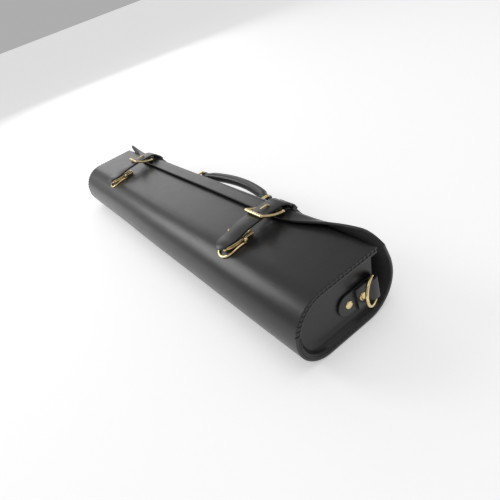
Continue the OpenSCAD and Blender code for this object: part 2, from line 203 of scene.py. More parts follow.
def sweep(path, width, thick, radius, side=None, up=None, closed=False, caps=True):
    """A flat strip along a path in metres; width and thick may change along it."""
    path = np.asarray(path, float)
    t = directions(path, closed)
    if side is not None:
        across = np.broadcast_to(np.asarray(side, float), t.shape)
        upward = np.cross(across, t)
    else:
        upward = np.broadcast_to(np.asarray(up, float), t.shape)
        across = np.cross(t, upward)
        across = across / np.linalg.norm(across, axis=1)[:, None]
        upward = np.cross(across, t)
    width = np.broadcast_to(width, len(path))
    thick = np.broadcast_to(thick, len(path))
    loops = []
    for k, p in enumerate(path):
        section = rounded_section(width[k], thick[k], radius)
        loops.append(p + section[:, :1] * across[k] + section[:, 1:] * upward[k])
    return loft(loops, closed, caps)


def tube(path, radius, closed=False, around=16, flat=1.0, up=(0, 0, 1)):
    """A round wire along a path; flat below 1 squeezes it along up."""
    path = np.asarray(path, float)
    t = directions(path, closed)
    normal = np.cross(t[0], np.asarray(up, float))
    if np.linalg.norm(normal) < 1e-6:
        normal = np.cross(t[0], (0.3, 1, 0.2))
    normal /= np.linalg.norm(normal)
    radius = np.broadcast_to(radius, len(path))
    angles = np.linspace(0, 2 * math.pi, around, endpoint=False)
    loops = []
    for k, p in enumerate(path):
        normal = normal - t[k] * (normal @ t[k])
        normal /= np.linalg.norm(normal)
        other = np.cross(t[k], normal)
        loops.append(p + radius[k] * (np.cos(angles)[:, None] * normal
                                      + flat * np.sin(angles)[:, None] * other))
    return loft(loops, closed)


def ease_corners(points, radius, closed=False, steps=7, straight=6):
    """A line of points whose corners are rounded with a radius, in metres."""
    points = np.asarray(points, float)
    count = len(points)
    out = []
    for i in range(count):
        if not closed and i in (0, count - 1):
            out.append(points[i][None])
            continue
        p, a, b = points[i], points[i - 1], points[(i + 1) % count]
        u, v = a - p, b - p
        lu, lv = np.linalg.norm(u), np.linalg.norm(v)
        u, v = u / lu, v / lv
        reach = min(radius, lu * 0.49, lv * 0.49)
        s, e = p + u * reach, p + v * reach
        k = np.linspace(0, 1, steps)[:, None]
        out.append((1 - k) ** 2 * s + 2 * k * (1 - k) * p + k ** 2 * e)
    line = np.concatenate(out)
    rings = []
    last = len(line) if closed else len(line) - 1
    for i in range(last):
        a, b = line[i], line[(i + 1) % len(line)]
        pieces = straight if np.linalg.norm(b - a) > 4 * MM else 1
        rings.append(a + (b - a) * np.linspace(0, 1, pieces, endpoint=False)[:, None])
    if not closed:
        rings.append(line[-1][None])
    return np.concatenate(rings)


def turned(profile, origin, axis, around=28):
    """A solid turned round an axis from (radius, height) pairs, closed at its last point."""
    axis = np.asarray(axis, float) / np.linalg.norm(axis)
    first = np.cross(axis, (0.31, 0.52, 0.79))
    first /= np.linalg.norm(first)
    second = np.cross(axis, first)
    angles = np.linspace(0, 2 * math.pi, around, endpoint=False)
    ring = np.cos(angles)[:, None] * first + np.sin(angles)[:, None] * second
    return loft([np.asarray(origin) + max(r, 2e-5) * ring + h * axis for r, h in profile])


def rivet(origin, axis, radius, height):
    """A low domed head with a small rolled rim."""
    profile = [(radius * 0.96, -0.0003), (radius, 0.00015), (radius * 0.985, height * 0.28)]
    for k in range(1, 8):
        a = math.radians(90 * k / 7)
        profile.append((radius * 0.95 * math.cos(a), height * (0.32 + 0.68 * math.sin(a))))
    return turned(profile, origin, axis)


def ball(origin, radius):
    profile = [(radius * math.sin(math.radians(a)), -radius * math.cos(math.radians(a)))
               for a in np.linspace(2, 178, 13)]
    return turned(profile, origin, (1, 0, 0), 20)


def stitch(points, radius):
    """One visible stitch: a short thread that tapers into its holes."""
    points = np.asarray(points, float)
    k = np.linspace(0, 1, len(points))
    return tube(points, radius * (0.55 + 0.45 * np.sin(math.pi * k)), around=7)


# ---------------------------------------------------------------- materials


class Sock:
    """A shader socket that takes part in ordinary arithmetic."""

    def __init__(self, net, socket):
        self.net = net
        self.socket = socket

    def _maths(self, operation, a, b):
        return self.net.node("ShaderNodeMath", {"operation": operation}, {0: a, 1: b})

    def __add__(self, other):
        return self._maths("ADD", self, other)

    def __radd__(self, other):
        return self._maths("ADD", other, self)

    def __sub__(self, other):
        return self._maths("SUBTRACT", self, other)

    def __rsub__(self, other):
        return self._maths("SUBTRACT", other, self)

    def __mul__(self, other):
        return self._maths("MULTIPLY", self, other)

    def __rmul__(self, other):
        return self._maths("MULTIPLY", other, self)


class Net:
    """A material's node tree."""

    def __init__(self, name):
        self.material = bpy.data.materials.new(name)
        self.material.use_nodes = True
        self.tree = self.material.node_tree
        self.tree.nodes.clear()

    def node(self, kind, settings=None, inputs=None, out=0):
        """Adds a node: its settings first, then the values or links of its sockets."""
        made = self.tree.nodes.new(kind)
        for key, value in (settings or {}).items():
            if key == "stops":
                ramp = made.color_ramp.elements
                ramp[0].position, ramp[0].color = value[0]
                ramp[1].position, ramp[1].color = value[-1]
                for position, colour in value[1:-1]:
                    ramp.new(position).color = colour
            else:
                setattr(made, key, value)
        for key, value in (inputs or {}).items():
            if isinstance(value, Sock):
                self.tree.links.new(value.socket, made.inputs[key])
            else:
                made.inputs[key].default_value = value
        return Sock(self, made.outputs[out]) if made.outputs else made

    def noise(self, where, scale, detail=3.0, roughness=0.55):
        return self.node("ShaderNodeTexNoise", {}, {
            "Vector": where, "Scale": scale, "Detail": detail, "Roughness": roughness})

    def ramp(self, value, low, high):
        """0 to 1 as value goes from low to high."""
        return self.node("ShaderNodeMapRange", {"clamp": True}, {
            "Value": value, "From Min": low, "From Max": high, "To Min": 0.0, "To Max": 1.0})

    def blend(self, factor, a, b):
        made = self.tree.nodes.new("ShaderNodeMix")
        made.data_type = "RGBA"
        self.tree.links.new(factor.socket, made.inputs["Factor"])
        for socket, value in ((made.inputs[6], a), (made.inputs[7], b)):
            if isinstance(value, Sock):
                self.tree.links.new(value.socket, socket)
            else:
                socket.default_value = (*value, 1)
        return Sock(self, made.outputs[2])

    def bump(self, height, strength, distance, under=None):
        inputs = {"Height": height, "Strength": strength, "Distance": distance}
        if under is not None:
            inputs["Normal"] = under
        return self.node("ShaderNodeBump", {}, inputs)

    def surface(self, **inputs):
        shader = self.node("ShaderNodeBsdfPrincipled", {}, inputs)
        self.node("ShaderNodeOutputMaterial", {}, {"Surface": shader})
        return self.material


def leather_finish(name, dark, light, gloss, grain=1.0, coat=0.25):
    """Smooth finished cowhide: fine pores and creases, a waxed sheen and slightly dull patches."""
    net = Net(name)
    where = net.node("ShaderNodeTexCoord", {}, {}, out=3)
    broad = net.noise(where, 14.0, 4.0)
    patch = net.noise(where, 60.0, 5.0, 0.6)
    fine = net.noise(where, 900.0, 4.0, 0.65)
    pores = net.node("ShaderNodeTexVoronoi", {"feature": "DISTANCE_TO_EDGE"}, {
        "Vector": where, "Scale": 760.0, "Randomness": 1.0})
    creases = net.ramp(pores, 0.0, 0.16)
    scratch_field = net.noise(net.node("ShaderNodeMapping", {}, {
        "Vector": where, "Scale": (30.0, 420.0, 420.0)}), 1.0, 3.0, 0.7)
    scratches = net.ramp(scratch_field, 0.68, 0.74)
    tone = net.ramp(broad * 0.6 + patch * 0.4, 0.35, 0.65)
    colour = net.blend(tone, dark, light)
    worn = net.blend(scratches * 0.35, colour, tuple(2.2 * c for c in light))
    rough = gloss + (patch - 0.5) * 0.10 + (1 - creases) * 0.10 + scratches * 0.06 + (broad - 0.5) * 0.08
    relief = creases * 0.5 + fine * 0.5
    normal = net.bump(relief, 0.22 * grain, 0.00012)
    swell = net.bump(broad, 0.12, 0.004, normal)
    return net.surface(**{
        "Base Color": worn, "Roughness": rough, "Normal": swell,
        "Specular IOR Level": 0.42, "Coat Weight": coat, "Coat Roughness": 0.22})


def brass_finish(name, bright=(0.83, 0.66, 0.36), deep=(0.55, 0.37, 0.14), gloss=0.13):
    """Polished brass with a faint warm tarnish and fine rubbed scratches."""
    net = Net(name)
    where = net.node("ShaderNodeTexCoord", {}, {}, out=3)
    cloud = net.noise(where, 160.0, 4.0)
    fine = net.noise(net.node("ShaderNodeMapping", {}, {
        "Vector": where, "Scale": (300.0, 2600.0, 900.0)}), 1.0, 2.0)
    tarnish = net.ramp(cloud, 0.52, 0.78)
    colour = net.blend(tarnish * 0.55, bright, deep)
    rough = gloss + tarnish * 0.12 + fine * 0.05
    return net.surface(**{
        "Base Color": colour, "Metallic": 1.0, "Roughness": rough,
        "Normal": net.bump(fine, 0.05, 0.00004)})


def thread_finish(name):
    """Waxed black thread with a twist."""
    net = Net(name)
    where = net.node("ShaderNodeTexCoord", {}, {}, out=3)
    twist = net.noise(net.node("ShaderNodeMapping", {}, {
        "Vector": where, "Scale": (2600.0, 2600.0, 900.0)}), 1.0, 2.0)
    colour = net.blend(twist, (0.008, 0.008, 0.009), (0.03, 0.03, 0.032))
    return net.surface(**{
        "Base Color": colour, "Roughness": 0.42 + twist * 0.2, "Normal": net.bump(twist, 0.5, 0.0001)})


LEATHER_BODY = leather_finish(
    "black_leather", (0.010, 0.010, 0.0105), (0.017, 0.017, 0.018), 0.33, 1.0, 0.18)
# Inside face: the unpolished flesh side, also painted lighter as painted light for the shaded inside of the
# case.
LEATHER_INSIDE_PAINTED_LIGHT = leather_finish(
    "black_leather_inside_painted_light", (0.05, 0.05, 0.052), (0.07, 0.07, 0.073), 0.6, 1.6, 0.05)
LEATHER_STRAP = leather_finish(
    "black_strap_leather", (0.012, 0.012, 0.013), (0.022, 0.022, 0.024), 0.36, 1.2)
# Near-black, matte disc laid on the strap: painted shade standing in for the dark inside of a punched hole.
PAINTED_HOLE_SHADE = leather_finish("painted_hole_shade", (0.002, 0.002, 0.002), (0.004, 0.004, 0.004), 0.8, 1.0, 0.0)
BRASS = brass_finish("polished_brass")
THREAD = thread_finish("black_thread")


# ---------------------------------------------------------------- case body


def body_ease(point):
    """The slight unevenness of hand-shaped leather, in millimetres along the surface's normal."""
    x, y, z = point
    return (0.35 * math.sin(x / 97 + 0.7) * math.cos(y / 41 + z / 53)
            + 0.25 * math.sin(x / 43 + y / 29 + 1.9) * math.sin(z / 31 + 0.4))


def leather_ring(line, x, thick, inset, ease=1.0):
    """The closed outline of a leather panel cut across at one x: outer face, edge, inner face."""
    out, inner = [], []
    half = thick / 2 - inset
    for a, b, h in line:
        n = np.array([math.sin(math.radians(h)), -math.cos(math.radians(h))])
        lift = ease * body_ease((x, a, b))
        out.append(spot(x, a + n[0] * (half + lift), b + n[1] * (half + lift)))
        inner.append(spot(x, a - n[0] * (half - lift), b - n[1] * (half - lift)))
    return np.array(out), np.array(inner)


def shell(lines, xs, thick, round_ends=0.9, round_free=0.0):
    """A leather panel lofted along X. lines gives the middle line at each x."""
    loops = []
    for line, x in zip(lines, xs):
        gap = HALF_LEN - abs(x)
        inset = round_ends - math.sqrt(max(0.0, round_ends ** 2 - (round_ends - min(gap, round_ends)) ** 2))
        outer, inner = leather_ring(line, x, thick, inset)
        if round_free:
            last = len(outer) - 1
            mid = (outer[last] + inner[last]) / 2
            along = outer[last] - outer[last - 1]
            along = along / max(np.linalg.norm(along), 1e-9)
            edge = [mid + (outer[last] - mid) * s + along * c * round_free * MM
                    for s, c in ((0.86, 0.5), (0.45, 0.9), (-0.45, 0.9), (-0.86, 0.5))]
            loops.append(np.concatenate([outer, edge, inner[::-1]]))
        else:
            loops.append(np.concatenate([outer, inner[::-1]]))
    points, faces = loft(loops, caps=False)
    count = len(loops[0])
    half = (count - (4 if round_free else 0)) // 2
    for row in (0, len(loops) - 1):
        base = row * count
        for k in range(half - 1):
            faces.append([base + k, base + k + 1, base + count - 2 - k, base + count - 1 - k])
        if round_free:
            faces.append([base + half - 1 + k for k in range(6)])
    return points, faces


def line_inside(obj, half):
    """Gives the inner face of a leather panel its unpolished side, painted several times lighter than the
    outside to stand in for light reaching the shaded inside.
    """
    obj.data.materials.append(LEATHER_INSIDE_PAINTED_LIGHT)
    count = 2 * half + 4
    for polygon in obj.data.polygons:
        if all(v % count >= half + 4 for v in polygon.vertices):
            polygon.material_index = 1


def along_case(count=110, fine_end=(0.0, 0.12, 0.3, 0.6, 0.95, 1.6, 3.0, 6.0)):
    """Places along X, closer together at the ends."""
    ends = [HALF_LEN - e for e in fine_end]
    middle = np.linspace(-(HALF_LEN - 10), HALF_LEN - 10, count)
    return np.array([-e for e in ends] + list(middle) + ends[::-1])


HEADING_FRONT = 180.0
STRAP_W = 25.0
FOLD_LAP_DEG = 8.6


def wrap():
    """The one leather that makes the front, the base, the back and the start of the top."""
    mid = LEATHER / 2
    steps = [
        (PANEL_H - BASE_FRONT_R, 0),
        (BASE_FRONT_R - mid, 90),
        (BASE_BACK_R - mid, 90),
        (BACK_H - BASE_BACK_R, 0),
        (TOP_R - mid, 90 + FOLD_DEG - FOLD_LAP_DEG),
    ]
    line = trace(steps, (PANEL_H, CASE_DEPTH - mid, HEADING_FRONT), 2.6)[::-1]
    xs = along_case()
    obj = make_mesh("wrap_leather", *shell([line] * len(xs), xs, LEATHER, round_free=0.6),
                    LEATHER_BODY, "case", "leather")
    line_inside(obj, len(line))
    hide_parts("wrap")


def lip_edge(x):
    """How far the flap's edge reaches towards the base at one x, in millimetres above the base."""
    straight = LIP_Y - LIP_LEN
    knots_x = [0, 215, 240, 268, 300, 318, 326, 331]
    knots_y = [0, 0, 4.5, 11.0, 16.5, 19.0, 22.5, 30.0]
    wave = 0.5 * math.sin(x / 61 + 0.8)
    return straight + float(np.interp(abs(x), knots_x, knots_y)) + wave


LOOSE_Z = 86.0
CORNER_R = 22.0
CORNER_DROP = 17.0


def flap():
    """The flap, with the last of the back's leather."""
    steps = [
        (MID_R, FOLD_LAP_DEG - FOLD_DEG),
        (CROWN_R - LEATHER / 2, CROWN_DEG),
        (LIP_R - LEATHER / 2, 90 - CROWN_DEG),
        (LIP_LEN + 6, 0),
    ]
    start_deg = FOLD_DEG - FOLD_LAP_DEG
    start = (BACK_H + MID_R * math.cos(math.radians(start_deg)),
             TOP_R + MID_R * math.sin(math.radians(start_deg)), 90 + start_deg)
    full = trace(steps, start, 0.8)
    run = np.r_[0, np.cumsum(np.hypot(*np.diff(full[:, :2], axis=0).T))]
    past = run > run[-1] * 0.35
    xs = along_case(120)
    smoothed = np.array([np.mean([lip_edge(x + d) for d in (-14, -7, 0, 7, 14)]) if abs(x) < 300
                         else lip_edge(x) for x in xs])
    loose = trace([(MID_R, FOLD_LAP_DEG - FOLD_DEG), (CROWN_R, 14), (60, 0)], start, 0.8)
    loose_run = np.r_[0, np.cumsum(np.hypot(*np.diff(loose[:, :2], axis=0).T))]
    loose_end = np.interp(LOOSE_Z, loose[:, 1], loose_run)
    lines = []
    for x, edge in zip(xs, smoothed):
        end = np.interp(-edge, -full[past, 0], run[past])
        held = np.stack([np.interp(np.linspace(0, end, 96), run, full[:, c]) for c in range(3)], 1)
        corner = CORNER_DROP * float(np.clip((abs(x) - HALF_LEN + CORNER_R) / CORNER_R, 0, 1)) ** 2.2
        free = np.stack([np.interp(np.linspace(0, loose_end - corner, 96), loose_run, loose[:, c])
                         for c in range(3)], 1)
        share = float(smooth(STRAP_X + STRAP_W / 2, HALF_LEN + 12, abs(x)))
        lines.append(held * (1 - share) + free * share)
    obj = make_mesh("flap_leather", *shell(lines, xs, LEATHER, round_free=0.6),
                    LEATHER_BODY, None, "leather")
    line_inside(obj, len(lines[0]))
    tuple(spot(0, FOLD_Y, FOLD_Z - 5.5))
    tuple(spot(0, FOLD_Y, FOLD_Z + 5.5))
    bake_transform(obj)
    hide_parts("flap")


def end_line(depth, top_deg, front_y):
    """The line at a depth under the outer face, from the front's top edge round to the back's top."""
    steps = [
        (front_y - BASE_FRONT_R, 0),
        (BASE_FRONT_R - depth, 90),
        (BASE_BACK_R - depth, 90),
        (BACK_H - BASE_BACK_R, 0),
        (TOP_R - depth, top_deg),
    ]
    return steps, (front_y, CASE_DEPTH - depth, HEADING_FRONT)


def gusset(side):
    """An end panel: a rolled rim sewn to the case, a soft dip and a flat middle."""
    sign = SIDES[side]
    profile = [(3.1, -9.0), (3.1, -1.2), (3.5, -0.35), (4.4, -0.05), (5.6, -0.15), (6.6, -0.6), (7.3, -1.5),
               (7.8, -2.8), (8.3, -4.4), (9.1, -6.0), (10.4, -7.2), (12.4, -7.8), (15.5, -8.0)]
    loops = []
    for depth, inwards in profile:
        steps, at = end_line(depth, 55, PANEL_H + 8)
        count = 150
        fine = trace(steps, at, 0.5)
        run = np.r_[0, np.cumsum(np.hypot(*np.diff(fine[:, :2], axis=0).T))]
        even = np.linspace(0, run[-1], count)
        loops.append(np.array([spot(sign * (HALF_LEN + inwards), np.interp(s, run, fine[:, 0]),
                                    np.interp(s, run, fine[:, 1])) for s in even]))
    points = np.concatenate(loops)
    count = len(loops[0])
    faces = [[i * count + k, i * count + k + 1, (i + 1) * count + k + 1, (i + 1) * count + k]
             for i in range(len(loops) - 1) for k in range(count - 1)]
    faces.append([(len(loops) - 1) * count + k for k in range(count)])
    mesh = bpy.data.meshes.new("gusset_" + side)
    mesh.from_pydata([tuple(p) for p in points], [], faces)
    shape = bmesh.new()
    shape.from_mesh(mesh)
    back, front = spot(0, 102, 7), spot(0, 111.5, 68)
    along = Vector(front - back)
    normal = Vector((0, along.z, -along.y)).normalized()
    bmesh.ops.bisect_plane(shape, geom=shape.verts[:] + shape.edges[:] + shape.faces[:],
                           plane_co=Vector(back), plane_no=normal, clear_outer=True)
    bmesh.ops.triangulate(shape, faces=[f for f in shape.faces if len(f.verts) > 4])
    bmesh.ops.recalc_face_normals(shape, faces=shape.faces)
    if sum(f.normal.x * sign for f in shape.faces) < 0:
        bmesh.ops.reverse_faces(shape, faces=shape.faces)
    shape.to_mesh(mesh)
    shape.free()
    for polygon in mesh.polygons:
        polygon.use_smooth = True
    mesh.set_sharp_from_angle(angle=math.radians(50))
    mesh.materials.append(LEATHER_BODY)
    obj = bpy.data.objects.new("gusset_" + side + "_leather", mesh)
    bpy.context.scene.collection.objects.link(obj)
    thick = obj.modifiers.new("thickness", "SOLIDIFY")
    thick.thickness = 2.6 * MM
    thick.offset = -1
    soft = obj.modifiers.new("rolled_edge", "BEVEL")
    soft.width = 0.6 * MM
    soft.segments = 3
    soft.limit_method = "ANGLE"
    soft.angle_limit = math.radians(60)
    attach(obj, "case")
    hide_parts("gusset_" + side)


OVER_EDGE_UNTIL = 255.0


def seam(side):
    """Hand stitches over the rim all round an end, and a second row inside the back's lip."""
    sign = SIDES[side]
    pitch = 5.0
    parts = []
    steps, at = end_line(0.0, 62, PANEL_H - 3)
    line = trace(steps, at, pitch)
    for a, b, h in line:
        n = np.array([math.sin(math.radians(h)), -math.cos(math.radians(h))])
        lean = np.array([math.cos(math.radians(h)), math.sin(math.radians(h))]) * 1.1

        def place(inward, out, shift):
            return spot(sign * (HALF_LEN + out), a - n[0] * inward + lean[0] * shift,
                        b - n[1] * inward + lean[1] * shift)

        if h < OVER_EDGE_UNTIL:
            parts.append(stitch([place(4.4, -0.1, -1.2), place(3.2, 0.3, -0.7), place(1.5, 0.42, -0.1),
                                 place(0.35, 0.3, 0.3), place(-0.25, -0.45, 0.5), place(-0.25, -1.3, 0.7),
                                 place(0.2, -2.0, 0.8)], 0.6 * MM))
        else:
            parts.append(stitch([place(5.5, -0.35, -2.4), place(5.2, 0.1, -1.2), place(5.1, 0.25, 0.4),
                                 place(5.2, 0.1, 1.6), place(5.5, -0.35, 2.4)], 0.5 * MM))
    obj = make_mesh("seam_stitches_" + side, *together(parts), THREAD, "case", "thread")
    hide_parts("seam_thread_" + side)


# ---------------------------------------------------------------- end ring


TAB_T = 2.5
TAB_LAYER_GAP = 0.1
TAB_LOW = 57.0
TAB_BAR_Y = 104.0
TAB_Z = 31.0
TAB_W = 25.0
RING_R = 1.75
RING_LEAN = 24.0


def end_tab(side):
    sign = SIDES[side]
    loop_r = RING_R + 0.15 + TAB_T / 2
    shift = 2 * loop_r - TAB_T - TAB_LAYER_GAP
    turn, bend = 25, 8
    slope = (shift - 2 * bend * (1 - math.cos(math.radians(turn)))) / math.sin(math.radians(turn))
    line = trace([(TAB_BAR_Y - TAB_LOW, 0), (loop_r, -180), (2, 0), (bend, -turn), (slope, 0),
                  (bend, turn), (11, 0)], (TAB_T / 2, TAB_LOW, 90), 0.9)
    path = np.array([spot(sign * (END_X + a), b, TAB_Z) for a, b, _ in line])
    run = np.r_[0, np.cumsum(np.linalg.norm(np.diff(path, axis=0), axis=1))] / MM
    round_r = TAB_W / 2
    tongue = np.sqrt(np.clip(round_r ** 2 - (round_r - run) ** 2, 0.25, None))
    rounding = np.where(run < round_r, tongue, round_r)
    strip = sweep(path, 2 * rounding * MM, TAB_T * 0.96 * MM, 0.7 * MM, side=(0, 0, 1))
    obj = make_mesh("end_tab_" + side, *strip, LEATHER_STRAP, "case", "leather")
    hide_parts("ring_tab_" + side)
    heads = [rivet(spot(sign * (END_X + out), y, TAB_Z), (sign, 0, 0), 4.6 * MM, 1.6 * MM)
             for out, y in ((TAB_T, TAB_LOW + 13.5), (2 * TAB_T + TAB_LAYER_GAP, TAB_BAR_Y - 17))]
    studs = make_mesh("end_tab_rivets_" + side, *together(heads), BRASS, "case", "brass")
    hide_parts("tab_rivets_" + side)


def end_ring(side):
    """The swinging end ring: a straight bar and a round bow."""
    sign = SIDES[side]
    half, leg = 14.8, 7.0
    bar_x = TAB_T / 2 + RING_R + 0.1 + TAB_T / 2
    bow = [(-leg - half * math.sin(math.radians(a)), half * math.cos(math.radians(a)))
           for a in np.linspace(0, 180, 41)]
    corners = [(-3.2, half), (-1.1, half - 0.35), (-0.25, half - 1.3), (0, half - 2.8)]
    outline = corners[::-1] + bow + [(u, -v) for u, v in corners]
    bar = [(0, v) for v in np.linspace(-half + 4, half - 4, 11)]
    lean = math.radians(RING_LEAN)
    path = np.array([spot(sign * (END_X + bar_x - u * math.sin(lean)), TAB_BAR_Y + u * math.cos(lean),
                          TAB_Z + v) for u, v in outline + bar])
    obj = make_mesh("end_ring_" + side, *tube(path, RING_R * MM, closed=True, around=20, up=(0.3, 0.2, 1)),
                    BRASS, "d_ring_" + side, "brass", 60)
    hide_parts("d_ring_" + side)


# ---------------------------------------------------------------- straps and buckles


STRAP_T = 2.8
STRAP_START = (19.0, CASE_DEPTH + 7.9, 0.0)
STRAP_STEPS = [(13, 0), (40, 14), (9, 0), (60, -9), (15, 0), (100, -5), (20.6, 0), (16, -62), (14, 0),
               (60, 14), (26, 0)]
STRAP_DROP = 8
SPARE_HOLE_Y = 80.5
FRONT_BAR = (74.8, CASE_DEPTH + 18.6)
HEEL_Y = 102.5
HEEL_R = 1.9
HEEL_LOOP_T = 1.8
HEEL_Z = FLAP_TOP_Z + HEEL_LOOP_T + 0.1 + HEEL_R
BUCKLE_HALF = 15.3


def strap(side):
    """A closing strap with a rounded lower end, a pointed free end and one buckle hole shown as a near-black
    disc of painted shade.
    """
    sign = SIDES[side]
    line = trace(STRAP_STEPS, STRAP_START, 0.9)
    path = side_line(line, sign * STRAP_X)
    run = np.r_[0, np.cumsum(np.linalg.norm(np.diff(path, axis=0), axis=1))] / MM
    left = run[-1] - run
    half = STRAP_W / 2
    low_r = 10.5
    round_low = np.sqrt(np.clip(low_r ** 2 - (low_r - run) ** 2, 0.3, None)) + (half - low_r) * run / low_r
    low = np.where(run < low_r, round_low, half)
    tip_len = 17.0
    tip = np.where(left < tip_len, half * np.clip(left / tip_len, 0.02, 1) ** 0.55, half)
    droop = 3.2 * np.clip(1 - run / 14.0, 0, 1) ** 2
    path[:, 2] -= droop * MM
    taper = 1 - 0.12 * np.clip(1 - run / 45.0, 0, 1)
    width = 2 * np.minimum(low, tip) * taper
    strip = sweep(path, width * MM, STRAP_T * MM, 0.8 * MM, side=(1, 0, 0))
    obj = make_mesh("strap_" + side + "_leather", *strip, LEATHER_STRAP, "flap", "leather")
    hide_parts("strap_" + side)
    # The spare hole is not cut: a thin near-black disc of painted shade sits on the strap's face.
    k = int(np.argmin(np.abs(line[:, 0] - SPARE_HOLE_Y)))
    centre = path[k] + spot(0, REST_Y, STRAP_T / 2 + 0.03)
    hole = turned([(1.5 * MM, 0.0), (1.55 * MM, 0.00008), (1.3 * MM, 0.00004)], centre, (0, 0, 1), 20)
    make_mesh("strap_hole_" + side, *hole, PAINTED_HOLE_SHADE, "flap", "leather")
    return line, path


def strap_studs(lines):
    heads = []
    for line, path in lines.values():
        run = np.r_[0, np.cumsum(np.linalg.norm(np.diff(path, axis=0), axis=1))] / MM
        for k in range(3):
            i = int(np.argmin(np.abs(run - (run[-1] - 24 + 4 * k))))
            h = math.radians(line[i, 2])
            up = np.array([0, -math.sin(h), math.cos(h)])
            heads.append(rivet(path[i] + up * STRAP_T / 2 * MM, up, 1.4 * MM, 0.8 * MM))
    obj = make_mesh("strap_end_studs", *together(heads), BRASS, "flap", "brass")
    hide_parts("strap_studs")


def keeper(side):
    """The folded leather loop that holds the free end down."""
    sign = SIDES[side]
    at = STRAP_START
    for size, turn in STRAP_STEPS[:STRAP_DROP]:
        at = step_end(at, size, turn)
    h = math.radians(at[2])
    along = np.array([0, math.cos(h), math.sin(h)])
    up = np.array([0, -math.sin(h), math.cos(h)])
    centre = spot(sign * STRAP_X, at[0], at[1]) + along * 4 * MM
    half = STRAP_W / 2 + 0.5 + 0.8
    top = STRAP_T / 2 + 0.3 + 0.8
    outline = [(-half, -2.6), (-half, top), (half, top), (half, -2.6)]
    path = ease_corners([centre + np.array([u * MM, 0, 0]) + up * v * MM for u, v in outline], 1.6 * MM)
    obj = make_mesh("keeper_" + side + "_leather", *sweep(path, 6 * MM, 1.6 * MM, 0.5 * MM, side=along),
                    LEATHER_STRAP, "flap", "leather")
    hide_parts("keeper_" + side)


def buckle(side):
    """The buckle frame: a straight front bar, cambered arms and the heel bar with its collars."""
    sign = SIDES[side]
    x0 = sign * STRAP_X
    r = 2.2
    arm = []
    for k in np.linspace(0, 1, 19):
        y = FRONT_BAR[0] + (HEEL_Y - FRONT_BAR[0]) * k
        z = FRONT_BAR[1] + (HEEL_Z - FRONT_BAR[1]) * k - 1.8 * math.sin(math.pi * k)
        arm.append((y, z))
    left = [spot(x0 - BUCKLE_HALF, y, z) for y, z in arm[::-1]]
    right = [spot(x0 + BUCKLE_HALF, y, z) for y, z in arm]
    path = ease_corners(np.array(left + right), 3.4 * MM)
    radius = np.full(len(path), r * MM)
    frame_part = tube(path, radius, around=20, flat=0.86, up=(0, 0.2, 1))
    heel = tube(np.array([spot(x0 + u, HEEL_Y, HEEL_Z) for u in np.linspace(-BUCKLE_HALF, BUCKLE_HALF, 9)]),
                HEEL_R * MM, up=(0, 0, 1))
    knobs = [ball(spot(x0 + s * BUCKLE_HALF, HEEL_Y, HEEL_Z), 2.35 * MM) for s in (-1, 1)]
    obj = make_mesh("buckle_frame_" + side + "_brass", *together([frame_part, heel] + knobs),
                    BRASS, "flap", "brass", 60)
    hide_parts("buckle_frame_" + side)


def prong(side):
    """The prong: an eye round the heel bar, a rise through the slot and a tapered finger."""
    sign = SIDES[side]
    x0 = sign * STRAP_X
    eye = [(3.35 * MM, -1.7 * MM), (3.7 * MM, -1.4 * MM), (3.7 * MM, 1.4 * MM), (3.35 * MM, 1.7 * MM),
           (2.1 * MM, 1.7 * MM), (2.0 * MM, 1.5 * MM), (2.0 * MM, -1.5 * MM), (2.1 * MM, -1.7 * MM)]
    angles = np.linspace(0, 2 * math.pi, 28, endpoint=False)
    centre = spot(x0, HEEL_Y, HEEL_Z)
    loops = [np.array([centre + np.array([h, r * math.cos(a), r * math.sin(a)]) for r, h in eye])
             for a in angles]
    ring = loft(loops, closed=True)
    finger = ease_corners([spot(x0, HEEL_Y - 3.2, HEEL_Z + 0.6), spot(x0, HEEL_Y - 7.5, HEEL_Z + 9.2),
                           spot(x0, HEEL_Y - 17.2, HEEL_Z + 9.35)], 3.0 * MM)
    shares = np.linspace(0, 1, len(finger))
    body = tube(finger, (1.45 - 0.45 * shares ** 2) * MM, around=14)
    tip = ball(finger[-1], 1.02 * MM)
    obj = make_mesh("prong_" + side + "_brass", *together([ring, body, tip]),
                    BRASS, "prong_" + side, "brass", 60)
    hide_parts("buckle_prong_" + side)


def buckle_tab(side):
    """The thin leather that loops round the heel bar and is sewn down on the flap."""
    sign = SIDES[side]
    x0 = sign * STRAP_X
    loop_mid = HEEL_R + 0.1 + HEEL_LOOP_T / 2
    under_z = FLAP_TOP_Z + 0.05 + HEEL_LOOP_T / 2
    line = trace([(LIP_Y - HEEL_Y, 0)], (LIP_Y, under_z, 180), 1.0)
    on_lip = np.radians(np.linspace(34, 3, 12))
    start = np.stack([LIP_Y + (LIP_R + 0.95) * np.sin(on_lip),
                      LIP_Z + (LIP_R + 0.95) * np.cos(on_lip), 0 * on_lip], 1)
    round_bar = np.radians(np.linspace(4, 236, 30))
    over = np.stack([HEEL_Y - loop_mid * np.sin(round_bar),
                     HEEL_Z - loop_mid * np.cos(round_bar), 0 * round_bar], 1)
    path = side_line(np.concatenate([start, line, over])[:, :2], x0)
    parts = []
    for s in (-1, 1):
        strip_path = path + np.array([s * 6.85 * MM, 0, 0])
        parts.append(sweep(strip_path, 9.3 * MM, HEEL_LOOP_T * MM, 0.5 * MM, side=(1, 0, 0)))
    sewn = side_line(start[:6, :2], x0)
    parts.append(sweep(sewn, 8 * MM, HEEL_LOOP_T * MM, 0.4 * MM, side=(1, 0, 0)))
    obj = make_mesh("buckle_tab_" + side + "_leather", *together(parts), LEATHER_STRAP, "flap", "leather")
    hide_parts("buckle_tab_" + side)


